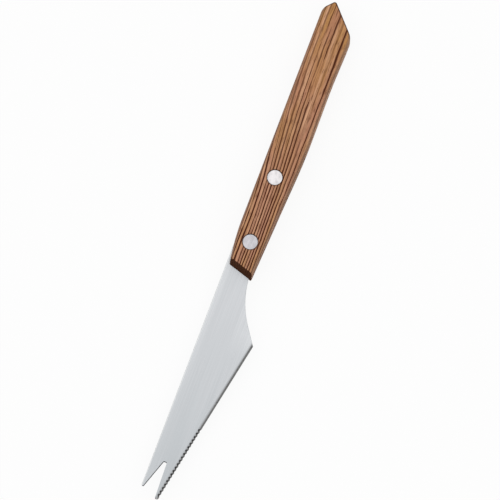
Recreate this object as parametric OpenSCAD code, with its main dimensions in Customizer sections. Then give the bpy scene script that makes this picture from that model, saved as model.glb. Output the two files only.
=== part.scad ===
// Bar knife lying flat: a forked, part-serrated blade whose half tang sits in a saw slot in a
// one-piece wooden handle, held there by two cutler's rivets.
// X runs along the blade to its tip, Y from the spine to the cutting edge, and Z is up.
// Lengths are measured along X from the handle's front, and widths along Y from the spine.

/* [Blade] */
// Length from the handle's front to the tip of the longer prong
blade_l = 97; // [85:0.1:125]
// Thickness of the steel sheet
blade_t = 1.2; // [0.8:0.1:2]
// Distance from the handle's front to the heel
heel_x = 26.3; // [23:0.1:35]
// Width at the heel
heel_w = 21.8; // [18:0.1:26]
// Rounding of the heel's corner
heel_r = 0.3; // [0.1:0.1:1]
// Width at the longer prong's tip
tip_w = 8.1; // [7.8:0.1:9.5]
// Slope of the neck where it runs down to the heel, in degrees
neck_slope = 34; // [28:1:45]
// Radius of the hollow between the tang and that slope
neck_r = 38; // [15:1:42]

/* [Fork] */
// How far the prong on the spine side stops short of the longer one
prong_step = 3.1; // [0:0.1:5]
// Width of the prong on the spine side at its tip
short_tip_w = 0.9; // [0.7:0.1:2]
// Width of the longer prong at its tip
long_tip_w = 1.3; // [0.5:0.1:1.8]
// Depth of the notch from the longer prong's tip
notch_depth = 15.1; // [8:0.1:22]
// Distance from the spine to the notch's bottom
notch_y = 5; // [3:0.1:6]
// Width of the notch's bottom
notch_w = 1.3; // [1:0.1:2]

/* [Cutting edge] */
// Width of the bevel ground on each face
bevel_w = 0.8; // [0.5:0.1:2]
// Thickness left along the edge
edge_t = 0.1; // [0.05:0.05:0.3]
// Length of the serrated stretch
serrated_l = 34; // [16:1:50]
// Plain edge left at the tip in front of the first gullet
plain_tip = 1.8; // [1.5:0.1:5]
// Distance from one gullet to the next
tooth_pitch = 1.6; // [1.4:0.1:3]
// Radius of the wheel's rim that grinds a gullet
gullet_r = 0.65; // [0.4:0.05:0.7]
// Depth of a gullet from the edge
gullet_depth = 0.25; // [0.2:0.05:0.6]
// Tilt of the gullets to the blade's face, in degrees
gullet_tilt = 45; // [35:1:70]

/* [Tang] */
// Width of the tang
tang_w = 10.4; // [9:0.1:11]
// Steel left behind the rear rivet
tang_margin = 12; // [6:0.5:25]
// Rounding of the tang's end corners
tang_r = 2; // [0.5:0.5:4]

/* [Handle] */
// Length from the front to the end of the butt
handle_l = 115.1; // [105:0.1:135]
// Thickness
handle_t = 12; // [10:0.5:16]
// How far the back stands out from the spine
back_rise = 0.3; // [0:0.1:1.5]
// How far the back is sanded down at the front
back_drop = 2; // [0:0.1:2.5]
// Length of the sanded-down stretch
back_drop_l = 20; // [10:1:40]
// Width from the spine to the belly at the front
front_w = 11.6; // [11.4:0.1:14]
// Width to the belly in the fingers' grip
grip_w = 13; // [12.4:0.1:14.5]
// Distance from the front to the fingers' grip
grip_x = 26; // [20:1:35]
// Width to the belly at the swell
swell_w = 14.4; // [13.8:0.1:17]
// Distance from the front to the swell
swell_x = 57; // [45:1:62]
// Width to the belly at the waist
waist_w = 14.2; // [13:0.1:15.5]
// Distance from the swell to the waist
waist_gap = 25; // [15:1:28]
// Width to the belly at the butt
butt_w = 14.7; // [14.3:0.1:17.5]

/* [Handle ends and edges] */
// Slant of the front face across the handle, in degrees
front_slant = 17.5; // [0:0.5:25]
// Slope of the front face away from the blade on each side, in degrees
front_slope = 18; // [0:1:30]
// Slant of the butt's long cut, in degrees
butt_slant = 47.5; // [35:0.5:55]
// Slant of the butt's short cut on the back, in degrees
back_slant = 47; // [42:1:65]
// Distance from the spine to the butt's point
point_y = 3.8; // [2.5:0.1:6]
// Rounding of the butt's point
point_r = 1; // [0.8:0.1:3]
// Rounding of the butt's corner on the back
back_r = 4; // [2:0.5:8]
// Rounding of the butt's corner on the belly
belly_r = 5; // [2:0.5:16]
// Width of the rounded long edges, seen from above
edge_w = 1.5; // [0.5:0.1:1.5]
// Height of the rounded long edges
edge_h = 2.4; // [1:0.1:4]
// Width of the smaller rounded edges round the butt's cuts
butt_edge_w = 0.7; // [0.3:0.1:0.7]

/* [Rivets] */
// Distance from the handle's front to the front rivet
front_rivet_x = 12; // [8:0.5:18]
// Distance between the two rivets
rivet_gap = 27.8; // [20:0.1:40]
// Distance from the spine to the rivets
rivet_y = 6.2; // [4.5:0.1:6.5]
// Diameter of a rivet's head
head_d = 6.2; // [5:0.1:8]
// Height of a rivet's head
head_h = 2.4; // [1.5:0.1:3]
// Height of the dome on a head
dome_h = 0.25; // [0.1:0.05:0.5]
// Outer diameter of a sleeve
sleeve_d = 4; // [3.4:0.1:4.5]
// Diameter of a post
post_d = 2.6; // [2:0.1:2.8]

/* [Fits] */
// Room on each side of the tang in its slot
slot_gap = 0.05; // [0.02:0.01:0.2]
// Room around the rivets in wood and steel
hole_gap = 0.05; // [0.02:0.01:0.2]
// Room around a post in its sleeve
post_gap = 0.02; // [0.01:0.01:0.05]
// Room past the end of a post, a sleeve and the tang
end_gap = 0.4; // [0.2:0.1:1]

/* [Hidden] */
$fn = 72;

// Share of a narrow end's width that its corner radius takes
end_round = 0.45;
// Steps in a small rounded corner and in a rounded long edge
corner_steps = 8;
edge_steps = 7;
// Stations along the handle
stations = 32;
// How far cuts and blanks run past what they shape
over = 6;

rear_rivet_x = front_rivet_x + rivet_gap;
tang_l = rear_rivet_x + tang_margin;
mid_z = handle_t / 2;

// Shank of a rivet half, from inside its own head to just short of the other head
shank_h = handle_t - head_h / 2 - head_h - end_gap;

// Blade outline: corner positions with their radii, from the tang's end along the spine
short_tip_x = blade_l - prong_step;
notch_x = blade_l - notch_depth;
neck_x = heel_x - (heel_w - tang_w) / tan(neck_slope);
blade_corners = [
    [-tang_l, 0, tang_r],
    [short_tip_x, 0, end_round * short_tip_w],
    [short_tip_x, short_tip_w, end_round * short_tip_w],
    [notch_x, notch_y, end_round * notch_w],
    [notch_x, notch_y + notch_w, end_round * notch_w],
    [blade_l, tip_w - long_tip_w, end_round * long_tip_w],
    [blade_l, tip_w, end_round * long_tip_w],
    [heel_x, heel_w, heel_r],
    [neck_x, tang_w, neck_r],
    [-tang_l, tang_w, tang_r]
];
blade_outline = rounded(blade_corners);

// Cutting edge: its length, and its slope towards the spine
edge_l = norm([blade_l - heel_x, heel_w - tip_w]);
edge_slope = atan2(heel_w - tip_w, blade_l - heel_x);
gullets = floor((serrated_l - plain_tip) / tooth_pitch);

// Butt: outward directions of its two cuts, and the centres of its three rounded corners
long_cut = 180 - butt_slant;
short_cut = 180 + back_slant;
point_centre = [point_r - handle_l, point_y];
back_centre = beside_cut(back_r - back_rise, back_r, short_cut);
belly_centre = beside_cut(butt_w - belly_r, belly_r, long_cut);

// Belly line: points that it passes through, and its slope at each
belly_points = [
    [0, front_w],
    [-grip_x, grip_w],
    [-swell_x, swell_w],
    [-swell_x - waist_gap, waist_w],
    [belly_centre.x, butt_w]
];
front_rise = rise(belly_points[0], belly_points[1]);
grip_rise = rise(belly_points[0], belly_points[2]);
belly_rises = [front_rise, grip_rise, 0, 0, 0];

// Centre of the whole knife, seen from above
mid_x = (blade_l - handle_l) / 2;
mid_y = (max([for (p = blade_outline) p.y]) - back_rise) / 2;

// Rivet: radius of its dome, and the diameters that it needs in wood and steel
dome_r = (head_d * head_d / 4 + dome_h * dome_h) / (2 * dome_h);
head_hole_d = head_d + 2 * hole_gap;
sleeve_hole_d = sleeve_d + 2 * hole_gap;

function unit(v) = v / norm(v);
function rise(a, b) = (b.y - a.y) / (b.x - a.x);
function arc(centre, r, from, to, steps) =
    [for (i = [0:steps]) let (a = from + (to - from) * i / steps) centre + r * [cos(a), sin(a)]];

// The corner at p, between a and b, rounded to radius r
function corner(a, p, b, r, steps) =
    let (
        u = unit(a - p),
        w = unit(b - p),
        half = acos(u * w) / 2,
        centre = p + unit(u + w) * r / sin(half),
        start = p + u * r / tan(half) - centre,
        from = atan2(start.y, start.x),
        turn = sign(cross(w, u)) * (180 - 2 * half)
    )
    arc(centre, r, from, from + turn, steps);

// A closed outline through corners given as [x, y, radius]
function rounded(corners) =
    let (n = len(corners), at = [for (c = corners) [c.x, c.y]])
    [
        for (i = [0:n - 1])
            let (r = corners[i].z, steps = corner_steps + floor(r / 3))
                each corner(at[(i + n - 1) % n], at[i], at[(i + 1) % n], r, steps)
    ];

// Centre at height y of a rounded corner that touches one of the cuts at the butt
function beside_cut(y, r, cut) =
    let (reach = point_centre * [cos(cut), sin(cut)] + point_r - r)
    [(reach - y * sin(cut)) / cos(cut), y];

// Smooth curve between two points with given slopes
function blend(x, a, b, rise_a, rise_b) =
    let (l = b.x - a.x, t = (x - a.x) / l, s = 1 - t)
    a.y * s * s * (1 + 2 * t) + b.y * t * t * (3 - 2 * t) + l * s * t * (rise_a * s - rise_b * t);

function belly_y(x) =
    let (i = max([for (k = [0:len(belly_points) - 2]) if (k == 0 || x <= belly_points[k].x) k]))
    blend(x, belly_points[i], belly_points[i + 1], belly_rises[i], belly_rises[i + 1]);

function back_y(x) =
    let (t = max(0, 1 + x / back_drop_l))
    back_drop * t * t - back_rise;

function station_x(i) = over + (belly_centre.x - over) * i / stations;

// How much of the long edges' rounding is left where the butt faces direction a. Most of it goes late in
// the turn, so that the flat face's border doesn't bulge out at the corners
function rim(a) =
    let (turned = cos(a) / max(cos(long_cut), cos(short_cut)))
    1 - (1 - butt_edge_w / edge_w) * pow(min(1, turned), 3);

// Points round a corner of the butt, each with the way it faces and its rim
function butt_corner(centre, r, from, to) =
    [
        for (i = [0:corner_steps])
            let (a = from + (to - from) * i / corner_steps, out = [cos(a), sin(a)])
                [centre + r * out, out, rim(a)]
    ];

// Handle's outline along the back, round the butt and along the belly
function handle_outline() =
    [
        for (i = [0:stations]) [[station_x(i), back_y(station_x(i))], [0, -1], 1],
        each butt_corner(back_centre, back_r, 270, short_cut),
        each butt_corner(point_centre, point_r, short_cut, long_cut),
        each butt_corner(belly_centre, belly_r, long_cut, 90),
        for (i = [stations - 1:-1:0]) [[station_x(i), belly_y(station_x(i))], [0, 1], 1]
    ];

// That outline drawn in by inset, at a drop from the lower face (side -1) or the upper one (side 1)
function handle_ring(side, inset, drop) =
    [
        for (p = handle_outline())
            let (at = p[0] - inset * p[2] * p[1])
                [at.x, at.y, mid_z + side * (mid_z - drop * p[2])]
    ];

function reversed(list) = [for (i = [len(list) - 1:-1:0]) list[i]];

// Moves a piece so that the knife is centred over the origin
module in_place() {
    translate([-mid_x, -mid_y, 0]) children();
}

// Loft through the outline at each height, drawn in at the rounded edges
module wood_blank() {
    turns = [for (i = [0:edge_steps]) 90 * i / edge_steps];
    rings = [
        for (a = turns) handle_ring(-1, edge_w * (1 - sin(a)), edge_h * (1 - cos(a))),
        for (a = reversed(turns)) handle_ring(1, edge_w * (1 - sin(a)), edge_h * (1 - cos(a)))
    ];
    n = len(rings[0]);
    top = n * (len(rings) - 1);
    cap = [
        for (i = [0:stations - 1]) [i, i + 1, n - 2 - i, n - 1 - i],
        [for (i = [stations:n - 1 - stations]) i]
    ];
    sides = [
        for (j = [0:len(rings) - 2], i = [0:n - 1])
            let (k = (i + 1) % n)
                [j * n + i, j * n + k, (j + 1) * n + k, (j + 1) * n + i]
    ];
    polyhedron(
        points = [for (r = rings) each r],
        faces = concat(
            [for (f = cap) reversed(f)],
            sides,
            [for (f = cap) [for (i = f) top + i]]
        )
    );
}

// The wood in front of the two sloping front faces
module front_waste() {
    size = 4 * handle_t;
    for (side = [-1, 1])
        translate([0, tang_w / 2, mid_z])
            rotate([0, -side * front_slope, -front_slant])
                translate([0, -size / 2, -size / 2]) cube(size);
}

// Path of the saw that slots the front end for the tang
module saw_slot() {
    saw_r = tang_l + end_gap + 2 * over;
    slot_t = blade_t + 2 * slot_gap;
    translate([saw_r - tang_l - end_gap, tang_w / 2, mid_z - slot_t / 2])
        cylinder(r = saw_r, h = slot_t);
}

module rivet_holes() {
    for (x = [front_rivet_x, rear_rivet_x])
        translate([-x, rivet_y, 0]) {
            translate([0, 0, -over]) cylinder(d = sleeve_hole_d, h = handle_t + 2 * over);
            translate([0, 0, -over]) cylinder(d = head_hole_d, h = over + head_h);
            translate([0, 0, handle_t - head_h]) cylinder(d = head_hole_d, h = over + head_h);
        }
}

module handle() {
    color("#A97A5C") in_place() difference() {
        wood_blank();
        front_waste();
        saw_slot();
        rivet_holes();
    }
}

// Lines children up with the cutting edge: X along it from the heel, -Y into the blade
module along_edge() {
    translate([heel_x, heel_w, mid_z]) rotate([0, 0, -edge_slope]) children();
}

// What grinding takes off both faces along the edge
module bevel_waste() {
    steepness = (blade_t - edge_t) / 2 / bevel_w;
    for (side = [-1, 1])
        along_edge()
            translate([-over, 0, 0])
                rotate([90, 0, 90])
                    linear_extrude(edge_l + 2 * over)
                        polygon([
                            [-over, side * (edge_t / 2 + steepness * over)],
                            [over, side * (edge_t / 2 - steepness * over)],
                            [over, side * (edge_t / 2 + steepness * over)]
                        ]);
}

// What the wheel takes off the upper face between the teeth
module gullet_waste() {
    floor_z = -(edge_t + (blade_t - edge_t) * gullet_depth / bevel_w) / 2;
    along_edge()
        for (i = [0:gullets - 1])
            translate([
                edge_l - plain_tip - i * tooth_pitch,
                gullet_r * sin(gullet_tilt) - gullet_depth,
                gullet_r * cos(gullet_tilt) + floor_z
            ])
                rotate([90 - gullet_tilt, 0, 0])
                    cylinder(r = gullet_r, h = over, center = true);
}

module blade() {
    color("#CDD1D4") in_place() difference() {
        translate([0, 0, mid_z - blade_t / 2])
            linear_extrude(blade_t) polygon(blade_outline);
        bevel_waste();
        gullet_waste();
        for (x = [front_rivet_x, rear_rivet_x])
            translate([-x, rivet_y, 0]) cylinder(d = sleeve_hole_d, h = handle_t);
    }
}

// Domed head, with its dome down on the handle's face
module rivet_head() {
    intersection() {
        cylinder(d = head_d, h = head_h);
        translate([0, 0, dome_r]) sphere(dome_r);
    }
}

// Half of a rivet with a solid shank, head up
module rivet_post(x) {
    color("#E4E2E3") in_place()
        translate([-x, rivet_y, handle_t]) mirror([0, 0, 1]) {
            rivet_head();
            translate([0, 0, head_h / 2]) cylinder(d = post_d, h = shank_h);
        }
}

// Half of a rivet with a tubular shank, head down
module rivet_sleeve(x) {
    color("#E4E2E3") in_place()
        translate([-x, rivet_y, 0]) difference() {
            union() {
                rivet_head();
                translate([0, 0, head_h / 2]) cylinder(d = sleeve_d, h = shank_h);
            }
            translate([0, 0, head_h]) cylinder(d = post_d + 2 * post_gap, h = handle_t);
        }
}

blade();
handle();
rivet_post(front_rivet_x);  // front_rivet_post
rivet_sleeve(front_rivet_x);  // front_rivet_sleeve
rivet_post(rear_rivet_x);  // rear_rivet_post
rivet_sleeve(rear_rivet_x);  // rear_rivet_sleeve
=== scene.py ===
import math

import bmesh
import bpy
from mathutils import Euler, Matrix, Vector


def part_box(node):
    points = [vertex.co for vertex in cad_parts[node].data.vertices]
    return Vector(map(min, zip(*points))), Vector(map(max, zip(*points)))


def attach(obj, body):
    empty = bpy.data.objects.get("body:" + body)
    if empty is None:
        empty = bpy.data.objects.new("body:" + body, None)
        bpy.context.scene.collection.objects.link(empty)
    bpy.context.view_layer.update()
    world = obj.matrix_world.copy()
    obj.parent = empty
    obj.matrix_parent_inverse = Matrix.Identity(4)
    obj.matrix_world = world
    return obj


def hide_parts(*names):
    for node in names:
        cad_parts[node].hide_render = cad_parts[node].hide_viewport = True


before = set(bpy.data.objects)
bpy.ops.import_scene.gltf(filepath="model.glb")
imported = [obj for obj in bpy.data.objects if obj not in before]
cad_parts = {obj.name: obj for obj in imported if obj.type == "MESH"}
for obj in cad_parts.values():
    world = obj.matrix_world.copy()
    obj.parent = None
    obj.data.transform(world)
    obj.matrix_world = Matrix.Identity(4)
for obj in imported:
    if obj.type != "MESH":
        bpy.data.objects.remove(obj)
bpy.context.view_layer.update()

# Millimetres in a metre: sizes below are in millimetres, and Blender's are in metres
MM = 1000

# The photograph's view: the point in the middle of the picture, how far the knife is turned in it, how far
# the camera leans towards the blade's tip, the picture's width in pixels and what one of them covers, and
# the lens with its sensor
AIM_MM = (-0.804, -3.828, 6)
TURN_DEG = 110.64
LEAN_DEG = 10
PHOTO_PX = 500
MM_PER_PX = 0.398
LENS_MM = 600
SENSOR_MM = 36

# Light: where the ceiling is brightest, how squarely a direction has to face that place to get more than the
# least light and to get the most, and how much these two are
BRIGHTEST = (-0.3, -0.06, 0.95)
DIM_FACING = 0.05
BRIGHT_FACING = 0.75
LEAST_LIGHT = 0.15
MOST_LIGHT = 1.15

# Floor: how far it reaches from the middle, in metres, its gap under the knife, and the share of its look
# that is plain white, which leaves the rest to the shadow
FLOOR_REACH_M = 4
FLOOR_GAP = 0.02
FLOOR_WHITE = 0.9

# Rounding of edges that the hand or the polishing wheel has taken off, and in how many steps it is made
SPINE_EASE = 0.38
NECK_EASE = 0.2
FORK_EASE = 0.2
FRONT_EASE = 0.25
HOLE_EASE = 0.12
EASE_STEPS = 3
HEAD_EASE = 0.15
HEAD_EASE_STEPS = 4

# Edges that turn by more than the first stay crisp, and faces that turn by less than the second are made one
SHARP_DEG = 35
FLAT_DEG = 0.05
# Corners that lie closer than this are made one
SAME_PLACE = 0.001

# How squarely a face looks up or down to count as level, and how little to count as sloped, steep or upright
LEVEL = 0.99
SLOPED = 0.97
STEEP = 0.78
UPRIGHT = 0.01
# How squarely a face looks forwards to be the handle's front, and looks out of the edge or out of the tip to
# count as facing that way
FRONT_FACING = 0.8
EDGE_FACING = 0.2
TIP_FACING = 0.5

# Rivets: height of a head and of its dome, diameters of the post, its sleeve and the sleeve's bore, and steps
# of the dome and round the axis
HEAD_H = 2.4
DOME_H = 0.25
POST_D = 2.6
SLEEVE_D = 4
BORE_D = 2.64
DOME_STEPS = 8
TURN_STEPS = 72

# Blade: slope of the cutting edge towards the spine, width of its bevel, and width of what counts as spine
EDGE_SLOPE_DEG = 11
BEVEL_W = 0.8
SPINE_W = 0.3
# Places of its finishes on the mesh, where the brushed sheet is 0; ground and sheared steel carry painted
# shade, and the spine a painted highlight
GROUND = 1
SHEARED_SHADED = 2
POLISHED_HIGHLIT = 3
GULLETED = 4

# Sheet: from where to where painted shade darkens it towards the tip, width of the painted highlight along
# the spine and its strength at the heel and at the tip, from where to where a painted highlight brightens the
# sheet behind the edge at the heel and how strongly, width and tone of the painted shade on the shoulder
# behind the bevel, and tone of the brushed lines
TIP_SHADE_FROM_X = 20
TIP_SHADE_TO_X = 90
STRIP_W = 3
STRIP_AT_HEEL = 0.6
STRIP_AT_TIP = 0.2
HEEL_FROM_X = 42
HEEL_TO_X = 32
HEEL_HIGHLIGHT = 0.7
SHOULDER_W = 0.65
SHOULDER_SHADE = 0.75
BRUSH_TONE = 0.25
# Tone of the scratches on a rivet
SCRATCH_TONE = 0.15

# Growth layers of the wood: by how much they bow out in the handle's thickness and at what height most, how
# far they drift along it and ripple, how far from its middle lies the one that they spread from, how crowded
# they are at the butt against the front, and from where to where that changes
BOW = 0.6
BOW_Z = 5
DRIFT = 2.5
RIPPLE = 0.3
FIRST_LAYER = 7.4
BUTT_CROWDING = 0.66
CROWD_FROM_X = -75
CROWD_TO_X = -10
# Figure of the wood: from where to where the closer one of the front sets in, how ochre the rest is at least,
# and how pale the front is at least
FIGURE_FROM_X = -80
FIGURE_TO_X = -20
REAR_OCHRE = 0.35
FRONT_PALE = 0.37
# Vessel lines: how long they run, how soft their borders are and how soon they swell, spacing and width of
# the strong ones, and spacing, width and tone of the hair lines
VESSEL_L = 30
VESSEL_SOFT = 0.08
VESSEL_SWELL = 0.12
STRONG_SPACING = 1.25
REAR_STRONG_W = 0.49
FRONT_STRONG_W = 0.62
HAIR_SPACING = 0.7
HAIR_W = 0.25
HAIR_TONE = 0.5
# Broad dark layer: how far it lies from the handle's middle and bends, how far its dark core and its soft
# border reach from its middle, and from where to where it sets in
BELLY_LAYER = 5.8
BELLY_BEND = 1.5
BELLY_CORE = 0.15
BELLY_BORDER = 0.4
BELLY_FROM_X = -46
BELLY_TO_X = -58
# Painted shade in the joint round a rivet: how wide it is and how dark
JOINT_SHADE_W = 0.5
JOINT_SHADE_TONE = 0.75

# Painted shade and wear on the handle's rounded edges, more as a face turns from level: how squarely a face
# looks up or down where it starts and where it is full, what is left of it on the upright sides, and how much
# of it the back and the belly show
SHADE_AND_WEAR_START = 0.95
SHADE_AND_WEAR_FULL = 0.6
SIDE_SHADE_AND_WEAR = 0.3
BACK_SHADE_AND_WEAR = 0.65
BELLY_SHADE_AND_WEAR = 0.6
# How squarely a face of the handle looks along it to show some end grain, and to show that alone
END_START = 0.12
END_FULL = 0.42

# Sockets of a colour Mix node: how much of the second colour it takes, and the two colours
SHARE = 0
FIRST = 6
SECOND = 7


def metres(*values):
    """Millimetres as a vector in metres."""
    return Vector(values) / MM


def box_mm(node):
    """The low and the high corner of a solid's box, in millimetres."""
    low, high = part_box(node)
    return low * MM, high * MM


def ramp(value, start, full):
    """How far a value has come from start to full, between 0 and 1."""
    return min(1, max(0, (value - start) / (full - start)))


def linear(colour):
    """An sRGB hex colour as linear RGBA."""
    channels = [int(colour[i:i + 2], 16) / 255 for i in (1, 3, 5)]
    return (*[c / 12.92 if c <= 0.04045 else ((c + 0.055) / 1.055) ** 2.4 for c in channels], 1)


def add_node(tree, kind, inputs=None, **settings):
    """Adds a shader node. Inputs hold a value, or the node or socket to link, by the name or number of the
    socket that takes it."""
    made = tree.nodes.new("ShaderNode" + kind)
    for name, value in settings.items():
        setattr(made, name, value)
    for name, value in (inputs or {}).items():
        if isinstance(value, bpy.types.Node):
            value = next(socket for socket in value.outputs if socket.enabled)
        if isinstance(value, bpy.types.NodeSocket):
            tree.links.new(value, made.inputs[name])
        else:
            made.inputs[name].default_value = value
    return made


def empty_material(name):
    """A material with an empty node tree."""
    material = bpy.data.materials.new(name)
    material.use_nodes = True
    material.node_tree.nodes.clear()
    return material


def place_mm(tree):
    """Where a point of the piece is, in millimetres."""
    where = add_node(tree, "TexCoord")
    return add_node(tree, "VectorMath", {0: where.outputs["Object"], "Scale": MM}, operation="SCALE")


def grain(tree, place, size_mm, detail=2):
    """Noise round 0.5 whose features measure about size_mm along X, Y and Z."""
    per_mm = [1 / size for size in size_mm]
    stretched = add_node(tree, "VectorMath", {0: place, 1: per_mm}, operation="MULTIPLY")
    return add_node(tree, "TexNoise", {"Vector": stretched, "Scale": 1, "Detail": detail})


def growth_layers(tree, place, parts):
    """How far a point lies from the handle's middle, with the bow of the layers, and in which layer it is."""
    low, high = box_mm("handle")
    depth = add_node(tree, "Math", {0: parts.outputs["Z"], 1: BOW_Z}, operation="SUBTRACT")
    depth = add_node(tree, "Math", {0: depth}, operation="ABSOLUTE")
    bow = add_node(tree, "MapRange", {
        "Value": depth, "From Max": high.z - BOW_Z, "To Min": 1 + BOW, "To Max": 1})
    middle = (low.y + high.y) / 2
    from_middle = add_node(tree, "Math", {0: parts.outputs["Y"], 1: middle}, operation="SUBTRACT")
    bowed = add_node(tree, "Math", {0: from_middle, 1: bow}, operation="MULTIPLY")

    # The layers wander along the handle, and spread from the belly towards the butt
    drift = grain(tree, place, size_mm=(55, 14, 14))
    wander = add_node(tree, "Math", {0: drift, 1: DRIFT, 2: bowed}, operation="MULTIPLY_ADD")
    from_belly = add_node(tree, "Math", {0: wander, 1: FIRST_LAYER}, operation="SUBTRACT")
    crowding = add_node(tree, "MapRange", {
        "Value": parts.outputs["X"], "From Min": CROWD_FROM_X, "From Max": CROWD_TO_X,
        "To Min": BUTT_CROWDING}, interpolation_type="SMOOTHSTEP")
    spread_out = add_node(tree, "Math", {0: from_belly, 1: crowding}, operation="MULTIPLY")
    ripple = grain(tree, place, size_mm=(7, 3, 3))
    return bowed, add_node(tree, "Math", {0: ripple, 1: RIPPLE, 2: spread_out}, operation="MULTIPLY_ADD")


def vessel_lines(tree, along, layer, spacing, width, gaps, faintest):
    """Dark lines that follow the growth layers. Chance gives each line its place, width and tone, and says
    where it ends."""
    steps = add_node(tree, "Math", {0: layer, 1: 1 / spacing}, operation="MULTIPLY")
    line = add_node(tree, "Math", {0: steps}, operation="FLOOR")
    across = add_node(tree, "Math", {0: steps}, operation="FRACT")
    draw = add_node(tree, "TexWhiteNoise", {"W": line}, noise_dimensions="1D")
    chance = add_node(tree, "SeparateXYZ", {0: draw.outputs["Color"]})
    centre = add_node(tree, "MapRange", {"Value": chance.outputs["X"], "To Min": 0.25, "To Max": 0.75})
    off = add_node(tree, "Math", {0: across, 1: centre}, operation="SUBTRACT")
    off = add_node(tree, "Math", {0: off}, operation="ABSOLUTE")
    half = add_node(tree, "Math", {0: width, 1: 0.5 / spacing}, operation="MULTIPLY")
    girth = add_node(tree, "MapRange", {"Value": chance.outputs["Y"], "To Min": 0.6, "To Max": 1.3})
    widest = add_node(tree, "Math", {0: half, 1: girth}, operation="MULTIPLY")

    # The number of the line stands in for Y here, and a size well under 1 makes each line end elsewhere
    along_line = add_node(tree, "CombineXYZ", {"X": along, "Y": line})
    run = grain(tree, along_line, size_mm=(VESSEL_L, 0.37, 1), detail=4)
    full = add_node(tree, "Math", {0: gaps, 1: VESSEL_SWELL}, operation="ADD")
    swell = add_node(tree, "MapRange", {"Value": run, "From Min": gaps, "From Max": full, "To Max": widest})
    inside = add_node(tree, "Math", {0: swell, 1: off}, operation="SUBTRACT")
    tone = add_node(tree, "MapRange", {"Value": chance.outputs["Z"], "To Min": faintest, "To Max": 1})
    return add_node(tree, "MapRange", {"Value": inside, "From Max": VESSEL_SOFT / spacing, "To Max": tone})


def belly_band(tree, place, along, bowed):
    """One broad dark layer near the belly, in the rear half of the handle."""
    bend = grain(tree, place, size_mm=(35, 9, 9))
    bent = add_node(tree, "Math", {0: bend, 1: BELLY_BEND, 2: bowed}, operation="MULTIPLY_ADD")
    off = add_node(tree, "Math", {0: bent, 1: BELLY_LAYER}, operation="SUBTRACT")
    off = add_node(tree, "Math", {0: off}, operation="ABSOLUTE")
    behind = add_node(tree, "MapRange", {"Value": along, "From Min": BELLY_FROM_X, "From Max": BELLY_TO_X})
    return add_node(tree, "MapRange", {
        "Value": off, "From Min": BELLY_BORDER, "From Max": BELLY_CORE, "To Max": behind})


def rivet_joint_shade(tree, place, wood):
    """Wood with painted shade darkening the joint round each rivet."""
    flat = add_node(tree, "VectorMath", {0: place, 1: (1, 1, 0)}, operation="MULTIPLY")
    for rivet in ("front_rivet_post", "rear_rivet_post"):
        low, high = box_mm(rivet)
        centre = (low + high) / 2
        head_r = (high.x - low.x) / 2
        away = add_node(tree, "VectorMath", {0: flat, 1: (centre.x, centre.y, 0)}, operation="DISTANCE")
        ring = add_node(tree, "MapRange", {
            "Value": away, "From Min": head_r + JOINT_SHADE_W, "From Max": head_r, "To Max": JOINT_SHADE_TONE})
        wood = add_node(tree, "Mix", {SHARE: ring, FIRST: wood, SECOND: linear("#2E160B")}, data_type="RGBA")
    return wood


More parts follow.
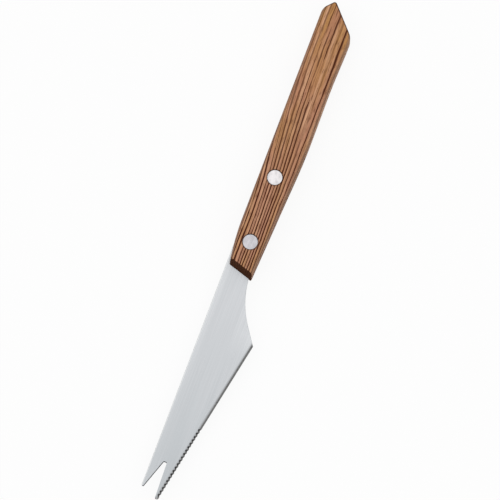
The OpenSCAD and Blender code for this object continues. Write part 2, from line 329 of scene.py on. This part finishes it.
def oiled_hardwood():
    """Oiled tropical hardwood, sawn along the grain and sanded: dark vessel lines run the length of the
    handle over bands of pink and ochre brown, crowded at the front. Cut ends soak up oil and go dark, and the
    rounded edges have dulled in the hand and carry painted shade. Painted shade darkens the joint round each
    rivet."""
    material = empty_material("oiled_hardwood")
    tree = material.node_tree
    place = place_mm(tree)
    parts = add_node(tree, "SeparateXYZ", {0: place})
    along = parts.outputs["X"]
    bowed, layer = growth_layers(tree, place, parts)
    layers = add_node(tree, "CombineXYZ", {"X": along, "Y": layer})

    # Broad bands of pink and ochre with paler streaks between them, pinker and paler all over at the front
    front = add_node(tree, "MapRange", {"Value": along, "From Min": FIGURE_FROM_X, "From Max": FIGURE_TO_X})
    ochre = add_node(tree, "MapRange", {"Value": front, "To Min": REAR_OCHRE, "To Max": 0})
    bands = grain(tree, layers, size_mm=(40, 3.5, 1))
    hue = add_node(tree, "MapRange", {"Value": bands, "From Min": 0.4, "From Max": 0.6, "To Min": ochre})
    body = add_node(tree, "Mix", {
        SHARE: hue, FIRST: linear("#BF866E"), SECOND: linear("#C28E57")}, data_type="RGBA")
    paler = add_node(tree, "Math", {0: front, 1: FRONT_PALE}, operation="MULTIPLY")
    streaks = grain(tree, layers, size_mm=(22, 1.1, 1))
    pale = add_node(tree, "MapRange", {
        "Value": streaks, "From Min": 0.48, "From Max": 0.66, "To Min": paler, "To Max": 0.85})
    body = add_node(tree, "Mix", {SHARE: pale, FIRST: body, SECOND: linear("#DEAC86")}, data_type="RGBA")

    # Fibres a few hundredths of a millimetre thick, drawn several times as coarse so that they show
    fibres = grain(tree, layers, size_mm=(9, 0.2, 1), detail=4)
    fibres = add_node(tree, "MapRange", {"Value": fibres, "From Min": 0.35, "From Max": 0.7, "To Max": 0.4})
    body = add_node(tree, "Mix", {SHARE: fibres, FIRST: body, SECOND: linear("#7C4B33")}, data_type="RGBA")

    # Dark vessel lines and the hair lines between them, with fewer gaps, wider and darker at the front
    gaps = add_node(tree, "MapRange", {"Value": front, "To Min": 0.43, "To Max": 0.3})
    faintest = add_node(tree, "MapRange", {"Value": front, "To Min": 0.4, "To Max": 1})
    width = add_node(tree, "MapRange", {"Value": front, "To Min": REAR_STRONG_W, "To Max": FRONT_STRONG_W})
    strong = vessel_lines(tree, along, layer, STRONG_SPACING, width, gaps, faintest)
    hair = vessel_lines(tree, along, layer, HAIR_SPACING, HAIR_W, gaps, faintest)
    hair = add_node(tree, "Math", {0: hair, 1: HAIR_TONE}, operation="MULTIPLY")
    dark = add_node(tree, "Math", {0: strong, 1: hair}, operation="MAXIMUM")
    band = belly_band(tree, place, along, bowed)
    dark = add_node(tree, "Math", {0: dark, 1: band}, operation="MAXIMUM")
    vessel = add_node(tree, "Mix", {
        SHARE: fibres, FIRST: linear("#3E1504"), SECOND: linear("#6E3316")}, data_type="RGBA")
    wood = add_node(tree, "Mix", {SHARE: dark, FIRST: body, SECOND: vessel}, data_type="RGBA")

    # Open pores, drawn about twice as coarse as real ones so that they show
    pores = grain(tree, layers, size_mm=(4, 0.35, 1))
    pores = add_node(tree, "MapRange", {"Value": pores, "From Min": 0.53, "From Max": 0.68, "To Max": 0.6})
    wood = add_node(tree, "Mix", {SHARE: pores, FIRST: wood, SECOND: linear("#5E331C")}, data_type="RGBA")

    # Painted shade and wear on the rounded long edges, dark cut ends, and painted shade round the rivet holes
    shaded_and_worn = add_node(tree, "Attribute", attribute_name="edge_shade_and_wear").outputs["Fac"]
    wood = add_node(tree, "Mix", {SHARE: shaded_and_worn, FIRST: wood, SECOND: linear("#86695A")}, data_type="RGBA")
    ends = add_node(tree, "Attribute", attribute_name="end_grain").outputs["Fac"]
    end_tone = add_node(tree, "Mix", {
        SHARE: dark, FIRST: linear("#522F1C"), SECOND: linear("#462817")}, data_type="RGBA")
    wood = add_node(tree, "Mix", {SHARE: ends, FIRST: wood, SECOND: end_tone}, data_type="RGBA")
    wood = rivet_joint_shade(tree, place, wood)

    # Vessels and pores lie deeper than the rest, vessels are duller and cut ends the dullest
    roughness = add_node(tree, "MapRange", {"Value": dark, "To Min": 0.55, "To Max": 0.7})
    roughness = add_node(tree, "Math", {0: roughness, 1: ends}, operation="MAXIMUM")
    hollow = add_node(tree, "Math", {0: dark, 1: pores}, operation="ADD")
    bump = add_node(tree, "Bump", {"Height": hollow, "Strength": 0.35, "Distance": 0.04 / MM}, invert=True)
    shader = add_node(tree, "BsdfPrincipled", {
        "Base Color": wood, "Roughness": roughness, "Normal": bump, "Specular IOR Level": 0.12})
    add_node(tree, "OutputMaterial", {"Surface": shader})
    return material


def brushed_sheet_steel(out_of_edge, bevel_start):
    """Stainless sheet brushed along the blade: an even grey sheen in fine lengthwise lines, with painted
    shade towards the tip, a painted highlight along the spine and behind the edge at the heel, and painted
    shade on the shoulder behind the bevel. The bevel starts bevel_start millimetres from the origin, measured
    out of the edge.
    The lines are drawn about 0.3 mm wide, several times the real ones, so that they show."""
    material = empty_material("brushed_stainless_sheet")
    tree = material.node_tree
    place = place_mm(tree)
    parts = add_node(tree, "SeparateXYZ", {0: place})
    along = parts.outputs["X"]
    across = parts.outputs["Y"]
    low, high = box_mm("blade")

    # Painted shade, a little darker towards the tip, over broad bands of tone
    worn = add_node(tree, "MapRange", {"Value": along, "From Min": TIP_SHADE_FROM_X, "From Max": TIP_SHADE_TO_X})
    tone = add_node(tree, "Mix", {
        SHARE: worn, FIRST: linear("#CBCDD0"), SECOND: linear("#BBBFC2")}, data_type="RGBA")
    bands = grain(tree, place, size_mm=(90, 5, 5), detail=1)
    bands = add_node(tree, "MapRange", {"Value": bands, "From Min": 0.35, "From Max": 0.65, "To Max": 0.5})
    tone = add_node(tree, "Mix", {SHARE: bands, FIRST: tone, SECOND: linear("#C6C8CB")}, data_type="RGBA")

    # Painted highlight along the spine, and behind the edge at the heel
    strip = add_node(tree, "MapRange", {"Value": worn, "To Min": STRIP_AT_HEEL, "To Max": STRIP_AT_TIP})
    by_spine = add_node(tree, "MapRange", {
        "Value": across, "From Min": low.y + STRIP_W, "From Max": low.y, "To Max": strip})
    by_heel = add_node(tree, "MapRange", {
        "Value": along, "From Min": HEEL_FROM_X, "From Max": HEEL_TO_X, "To Max": HEEL_HIGHLIGHT})
    by_heel = add_node(tree, "MapRange", {
        "Value": across, "From Min": 0, "From Max": high.y, "To Max": by_heel})
    polished = add_node(tree, "Math", {0: by_spine, 1: by_heel}, operation="MAXIMUM")
    tone = add_node(tree, "Mix", {SHARE: polished, FIRST: tone, SECOND: linear("#DADCDE")}, data_type="RGBA")

    # Painted shade on the shoulder behind the bevel
    out = add_node(tree, "VectorMath", {0: place, 1: out_of_edge}, operation="DOT_PRODUCT")
    shoulder = add_node(tree, "MapRange", {
        "Value": out, "From Min": bevel_start - SHOULDER_W, "From Max": bevel_start,
        "To Max": SHOULDER_SHADE})
    tone = add_node(tree, "Mix", {SHARE: shoulder, FIRST: tone, SECOND: linear("#85878A")}, data_type="RGBA")

    # Brushed lines
    lines = grain(tree, place, size_mm=(40, 0.3, 0.3), detail=3)
    lines = add_node(tree, "MapRange", {"Value": lines, "From Min": 0.3, "From Max": 0.7})
    lined = add_node(tree, "Math", {0: lines, 1: BRUSH_TONE}, operation="MULTIPLY")
    tone = add_node(tree, "Mix", {SHARE: lined, FIRST: tone, SECOND: linear("#A9ADB0")}, data_type="RGBA")
    roughness = add_node(tree, "MapRange", {"Value": lines, "To Min": 0.32, "To Max": 0.4})
    bump = add_node(tree, "Bump", {"Height": lines, "Strength": 0.12, "Distance": 0.02 / MM})
    shader = add_node(tree, "BsdfPrincipled", {
        "Base Color": tone, "Metallic": 1, "Roughness": roughness, "Normal": bump})
    add_node(tree, "OutputMaterial", {"Surface": shader})
    return material


def polished_spine_steel():
    """Stainless steel rounded on a polishing belt, with a colour brighter than the sheet as a painted
    highlight: a thin bright line along the spine. Its faint lengthwise lines are drawn coarser than real
    ones."""
    material = empty_material("polished_stainless_spine")
    tree = material.node_tree
    lines = grain(tree, place_mm(tree), size_mm=(15, 0.3, 0.3))
    tone = add_node(tree, "Mix", {
        SHARE: lines, FIRST: linear("#E9EBEC"), SECOND: linear("#D6D8DA")}, data_type="RGBA")
    shader = add_node(tree, "BsdfPrincipled", {"Base Color": tone, "Metallic": 1, "Roughness": 0.28})
    add_node(tree, "OutputMaterial", {"Surface": shader})
    return material


def shaded_ground_steel(name, dark, light, roughness):
    """Stainless steel straight from the grinding wheel: painted darker than the sheet as painted shade, with
    fine scratches that run across the edge, drawn coarser than real ones. Hardly any light gets out of the
    gullets, so they take darker colours than the bevel and show as a row of dark spots."""
    material = empty_material(name)
    tree = material.node_tree
    turned = add_node(tree, "Mapping", {
        "Vector": place_mm(tree), "Rotation": (0, 0, math.radians(EDGE_SLOPE_DEG))})
    scratches = grain(tree, turned, size_mm=(0.25, 3, 3))
    scratches = add_node(tree, "MapRange", {"Value": scratches, "From Min": 0.3, "From Max": 0.7})
    tone = add_node(tree, "Mix", {
        SHARE: scratches, FIRST: linear(dark), SECOND: linear(light)}, data_type="RGBA")
    bump = add_node(tree, "Bump", {"Height": scratches, "Strength": 0.2, "Distance": 0.02 / MM})
    shader = add_node(tree, "BsdfPrincipled", {
        "Base Color": tone, "Metallic": 1, "Roughness": roughness, "Normal": bump})
    add_node(tree, "OutputMaterial", {"Surface": shader})
    return material


def shaded_sheared_edge_steel():
    """Stainless steel where the press sheared the sheet: rough, torn across its thickness, and dark, partly
    its own dull grey and partly painted shade.
    """
    material = empty_material("sheared_stainless_edge_painted_shade")
    tree = material.node_tree
    torn = grain(tree, place_mm(tree), size_mm=(0.3, 0.3, 1.2))
    torn = add_node(tree, "MapRange", {"Value": torn, "From Min": 0.3, "From Max": 0.7})
    tone = add_node(tree, "Mix", {
        SHARE: torn, FIRST: linear("#38393A"), SECOND: linear("#505153")}, data_type="RGBA")
    bump = add_node(tree, "Bump", {"Height": torn, "Strength": 0.4, "Distance": 0.03 / MM})
    shader = add_node(tree, "BsdfPrincipled", {
        "Base Color": tone, "Metallic": 1, "Roughness": 0.9, "Normal": bump})
    add_node(tree, "OutputMaterial", {"Surface": shader})
    return material


def buffed_aluminium(name, colour):
    """Aluminium rivet let into the wood and buffed with it: a soft pale shine in uneven patches, with faint
    lengthwise scratches, drawn coarser than real ones."""
    material = empty_material(name)
    tree = material.node_tree
    place = place_mm(tree)
    scratches = grain(tree, place, size_mm=(6, 0.35, 3), detail=3)
    scratches = add_node(tree, "MapRange", {"Value": scratches, "From Min": 0.3, "From Max": 0.7})
    patches = grain(tree, place, size_mm=(3, 2.2, 2.2))
    patches = add_node(tree, "MapRange", {
        "Value": patches, "From Min": 0.4, "From Max": 0.6, "To Max": 0.25})
    dulled = add_node(tree, "Math", {0: scratches, 1: SCRATCH_TONE, 2: patches}, operation="MULTIPLY_ADD")
    tone = add_node(tree, "Mix", {
        SHARE: dulled, FIRST: linear(colour), SECOND: linear("#808084")}, data_type="RGBA")
    bump = add_node(tree, "Bump", {"Height": scratches, "Strength": 0.15, "Distance": 0.02 / MM})
    shader = add_node(tree, "BsdfPrincipled", {
        "Base Color": tone, "Metallic": 1, "Roughness": 0.3, "Normal": bump})
    add_node(tree, "OutputMaterial", {"Surface": shader})
    return material


def is_flat(face):
    """Whether a face lies level."""
    return abs(face.normal.z) > LEVEL


def is_wall(face):
    """Whether a face stands upright."""
    return abs(face.normal.z) < UPRIGHT


def between(shape, is_one, is_other):
    """Edges with a face of one kind on one side and a face of the other kind on the other."""
    return [edge for edge in shape.edges
            if any(map(is_one, edge.link_faces)) and any(map(is_other, edge.link_faces))]


def joined_copy(node):
    """A copy of a solid's mesh in millimetres, with its triangles joined up and its flat faces made whole."""
    shape = bmesh.new()
    shape.from_mesh(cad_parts[node].data)
    bmesh.ops.scale(shape, verts=shape.verts, vec=(MM, MM, MM))
    bmesh.ops.remove_doubles(shape, verts=shape.verts, dist=SAME_PLACE)
    shape.normal_update()
    inner = [edge for edge in shape.edges if all(map(is_flat, edge.link_faces))]
    bmesh.ops.dissolve_edges(shape, edges=inner)
    bmesh.ops.dissolve_limit(shape, angle_limit=math.radians(FLAT_DEG), verts=shape.verts, edges=shape.edges)
    shape.normal_update()
    return shape


def ease(shape, edges, offset):
    """Rounds edges over, and gives the new faces."""
    made = bmesh.ops.bevel(shape, geom=edges, offset=offset, segments=EASE_STEPS, profile=0.5,
                           affect="EDGES", material=-1, clamp_overlap=False)
    shape.normal_update()
    return made["faces"]


def finish_piece(name, shape, node, slot, *materials):
    """Makes a piece of a shape in millimetres, which stands for a node. The slot is not used."""
    shape.normal_update()
    for face in shape.faces:
        face.smooth = True
    for edge in shape.edges:
        edge.smooth = edge.is_manifold and edge.calc_face_angle() < math.radians(SHARP_DEG)
    bmesh.ops.scale(shape, verts=shape.verts, vec=metres(1, 1, 1))
    mesh = bpy.data.meshes.new(name)
    shape.to_mesh(mesh)
    shape.free()
    for material in materials:
        mesh.materials.append(material)
    piece = bpy.data.objects.new(name, mesh)
    bpy.context.scene.collection.objects.link(piece)
    even = piece.modifiers.new("even_shading", "WEIGHTED_NORMAL")
    even.keep_sharp = True
    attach(piece, "root")
    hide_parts(node)


def wooden_handle():
    """The handle with its front and its rivet holes eased, and its cut ends and long edges marked for the
    wood, the long edges for painted shade and wear."""
    shape = joined_copy("handle")
    low, high = box_mm("handle")

    def is_outside(face):
        return is_flat(face) and not low.z < face.calc_center_median().z < high.z

    def is_front(face):
        return face.normal.x > FRONT_FACING and not is_wall(face)

    def is_not_front(face):
        return not is_front(face)

    # The front comes first, because the eased rims of the holes face forwards too
    ease(shape, between(shape, is_front, is_not_front), FRONT_EASE)
    ease(shape, between(shape, is_outside, is_wall), HOLE_EASE)
    end_grain = shape.loops.layers.float.new("end_grain")
    edge_shade_and_wear = shape.loops.layers.float.new("edge_shade_and_wear")
    # Each corner gets its share of painted shade and wear, more where a rounded edge turns from level, and
    # its share of end grain
    for face in shape.faces:
        for corner in face.loops:
            facing = face.normal if is_flat(face) else corner.vert.normal
            level = abs(facing.z)
            kept = SIDE_SHADE_AND_WEAR + (1 - SIDE_SHADE_AND_WEAR) * ramp(level, 0, SHADE_AND_WEAR_FULL)
            shown = BACK_SHADE_AND_WEAR if facing.y < 0 else BELLY_SHADE_AND_WEAR
            corner[edge_shade_and_wear] = ramp(level, SHADE_AND_WEAR_START, SHADE_AND_WEAR_FULL) * kept * shown
            corner[end_grain] = ramp(abs(facing.x), END_START, END_FULL)
    finish_piece("wooden_handle", shape, "handle", "wood", oiled_hardwood())


def forked_blade():
    """The blade with its spine, neck and fork eased, its bevel and gullets as ground and its fork as
    sheared, both painted darker as painted shade, and its eased spine with a painted highlight."""
    shape = joined_copy("blade")
    heel = max(shape.verts, key=lambda vert: vert.co.y).co.copy()
    neck_x = box_mm("handle")[1].x
    spine_y = box_mm("blade")[0].y + SPINE_W
    slope = math.radians(EDGE_SLOPE_DEG)
    out_of_edge = Vector((math.sin(slope), math.cos(slope), 0))

    def is_spine(face):
        return is_wall(face) and face.calc_center_median().y < spine_y

    def is_neck(face):
        return is_wall(face) and neck_x < face.calc_center_median().x < heel.x and not is_spine(face)

    def is_fork(face):
        middle = face.calc_center_median()
        behind_edge = (heel - middle).dot(out_of_edge)
        return is_wall(face) and middle.x > heel.x and behind_edge > BEVEL_W and middle.y > spine_y

    def is_ground(face):
        looks_out = face.normal.dot(out_of_edge) > EDGE_FACING and abs(face.normal.z) < SLOPED
        return looks_out and face.calc_center_median().x > heel.x

    def is_gullet(face):
        return not is_wall(face) and abs(face.normal.z) < STEEP

    def is_fork_in_view(face):
        looks_out = face.normal.dot(out_of_edge) > EDGE_FACING or face.normal.x > TIP_FACING
        return looks_out and is_fork(face)

    # The sheared walls, the ground bevel and the gullets take steels painted darker as painted shade
    for face in shape.faces:
        if is_fork(face):
            face.material_index = SHEARED_SHADED
        elif is_ground(face):
            face.material_index = GULLETED if is_gullet(face) else GROUND
    # The eased spine takes the steel with the painted highlight
    for face in ease(shape, between(shape, is_flat, is_spine), SPINE_EASE):
        face.material_index = POLISHED_HIGHLIT
    ease(shape, between(shape, is_flat, is_neck), NECK_EASE)
    # The eased fork rims that face the edge and the tip take the sheared steel, dark as painted shade
    for face in ease(shape, between(shape, is_flat, is_fork_in_view), FORK_EASE):
        face.material_index = SHEARED_SHADED
    finish_piece("forked_blade", shape, "blade", "steel",
                 brushed_sheet_steel(out_of_edge, bevel_start=heel.dot(out_of_edge) - BEVEL_W),
                 shaded_ground_steel("ground_stainless_edge_painted_shade", dark="#838382", light="#A1A1A0", roughness=0.26),
                 shaded_sheared_edge_steel(), polished_spine_steel(),
                 shaded_ground_steel("ground_stainless_gullets_painted_shade", dark="#484847", light="#646463", roughness=0.4))


def rivet_half(name, node, shank_d, bore_d, material):
    """One half of a rivet, turned round its axis: a domed head with a shank. The solid half has no bore and
    its head on top, and the tube has its head below."""
    low, high = box_mm(node)
    head_r = (high.x - low.x) / 2
    length = high.z - low.z
    shank_r = shank_d / 2
    bore_r = bore_d / 2

    # Half the outline, from the middle of the dome down to the end of the shank
    dome_r = (head_r ** 2 + DOME_H ** 2) / (2 * DOME_H)
    shape = bmesh.new()
    apex = shape.verts.new((0, 0, 0))
    dome = bmesh.ops.spin(shape, geom=[apex], cent=(0, 0, -dome_r), axis=(0, 1, 0),
                          angle=math.asin(head_r / dome_r), steps=DOME_STEPS)
    last = next(made for made in dome["geom_last"] if isinstance(made, bmesh.types.BMVert))
    rims = [last]
    end = [(bore_r, -length), (bore_r, -HEAD_H), (0, -HEAD_H)] if bore_d else [(0, -length)]
    for x, z in [(head_r, -HEAD_H), (shank_r, -HEAD_H), (shank_r, -length), *end]:
        last = bmesh.ops.extrude_vert_indiv(shape, verts=[last])["verts"][0]
        last.co = (x, 0, z)
        if x == head_r:
            rims.append(last)
    bmesh.ops.bevel(shape, geom=rims, offset=HEAD_EASE, segments=HEAD_EASE_STEPS, profile=0.5,
                    affect="VERTICES", material=-1)

    # The outline is turned round the axis, the tube is set upside down, and the half goes to its place
    bmesh.ops.spin(shape, geom=shape.verts[:] + shape.edges[:], cent=(0, 0, 0), axis=(0, 0, 1),
                   angle=math.tau, steps=TURN_STEPS, use_merge=True)
    bmesh.ops.remove_doubles(shape, verts=shape.verts, dist=SAME_PLACE)
    if bore_d:
        bmesh.ops.rotate(shape, verts=shape.verts, cent=(0, 0, 0), matrix=Matrix.Rotation(math.pi, 3, "X"))
    bmesh.ops.recalc_face_normals(shape, faces=shape.faces)
    centre = (low + high) / 2
    head_z = low.z if bore_d else high.z
    bmesh.ops.translate(shape, verts=shape.verts, vec=(centre.x, centre.y, head_z))
    finish_piece(name, shape, node, "rivet", material)


def rivets():
    """Both rivets, the front one painted a little darker as painted shade."""
    for end, colour in {"front": "#CECCD0", "rear": "#EBE7E8"}.items():
        material = buffed_aluminium(f"buffed_aluminium_{end}", colour)
        rivet_half(f"{end}_rivet_solid_half", f"{end}_rivet_post", POST_D, 0, material)
        rivet_half(f"{end}_rivet_tube_half", f"{end}_rivet_sleeve", SLEEVE_D, BORE_D, material)


def white_floor():
    """A matt white table top just under the knife."""
    shape = bmesh.new()
    bmesh.ops.create_grid(shape, x_segments=1, y_segments=1, size=FLOOR_REACH_M)
    bmesh.ops.translate(shape, verts=shape.verts, vec=metres(0, 0, -FLOOR_GAP))
    mesh = bpy.data.meshes.new("floor")
    shape.to_mesh(mesh)
    shape.free()
    floor = bpy.data.objects.new("floor", mesh)
    bpy.context.scene.collection.objects.link(floor)
    material = empty_material("matt_white_board")
    tree = material.node_tree
    path = add_node(tree, "LightPath")
    seen = add_node(tree, "Math", {
        0: path.outputs["Is Camera Ray"], 1: path.outputs["Is Glossy Ray"]}, operation="MAXIMUM")
    share = add_node(tree, "Math", {0: seen, 1: FLOOR_WHITE}, operation="MULTIPLY")
    board = add_node(tree, "BsdfDiffuse", {"Color": linear("#F4F4F4")})
    white = add_node(tree, "Emission", {"Color": linear("#FFFFFF"), "Strength": 1})
    shader = add_node(tree, "MixShader", {0: share, 1: board, 2: white})
    add_node(tree, "OutputMaterial", {"Surface": shader})
    mesh.materials.append(material)


def studio_light():
    """A broad bright ceiling that leaves the side towards the cutting edge and the tip darker."""
    world = bpy.data.worlds.new("studio")
    world.use_nodes = True
    world.node_tree.nodes.clear()
    tree = world.node_tree
    where = add_node(tree, "TexCoord")
    facing = add_node(tree, "VectorMath", {
        0: where.outputs["Generated"], 1: Vector(BRIGHTEST).normalized()}, operation="DOT_PRODUCT")
    strength = add_node(tree, "MapRange", {
        "Value": facing, "From Min": DIM_FACING, "From Max": BRIGHT_FACING,
        "To Min": LEAST_LIGHT, "To Max": MOST_LIGHT}, interpolation_type="SMOOTHSTEP")
    background = add_node(tree, "Background", {"Color": linear("#FFFFFF"), "Strength": strength})
    add_node(tree, "OutputWorld", {"Surface": background})
    bpy.context.scene.world = world


def photo_camera():
    """The photograph's view, with a long lens."""
    camera = bpy.data.cameras.new("camera")
    camera.lens = LENS_MM
    camera.sensor_width = SENSOR_MM
    stand = bpy.data.objects.new("camera", camera)
    turn = Euler((math.radians(LEAN_DEG), 0, math.radians(TURN_DEG)))
    away = PHOTO_PX * MM_PER_PX * LENS_MM / SENSOR_MM
    stand.rotation_euler = turn
    stand.location = metres(*AIM_MM) + turn.to_matrix() @ metres(0, 0, away)
    bpy.context.scene.collection.objects.link(stand)
    bpy.context.scene.camera = stand


wooden_handle()
forked_blade()
rivets()
white_floor()
studio_light()
photo_camera()
bpy.context.scene.view_settings.view_transform = "Standard"
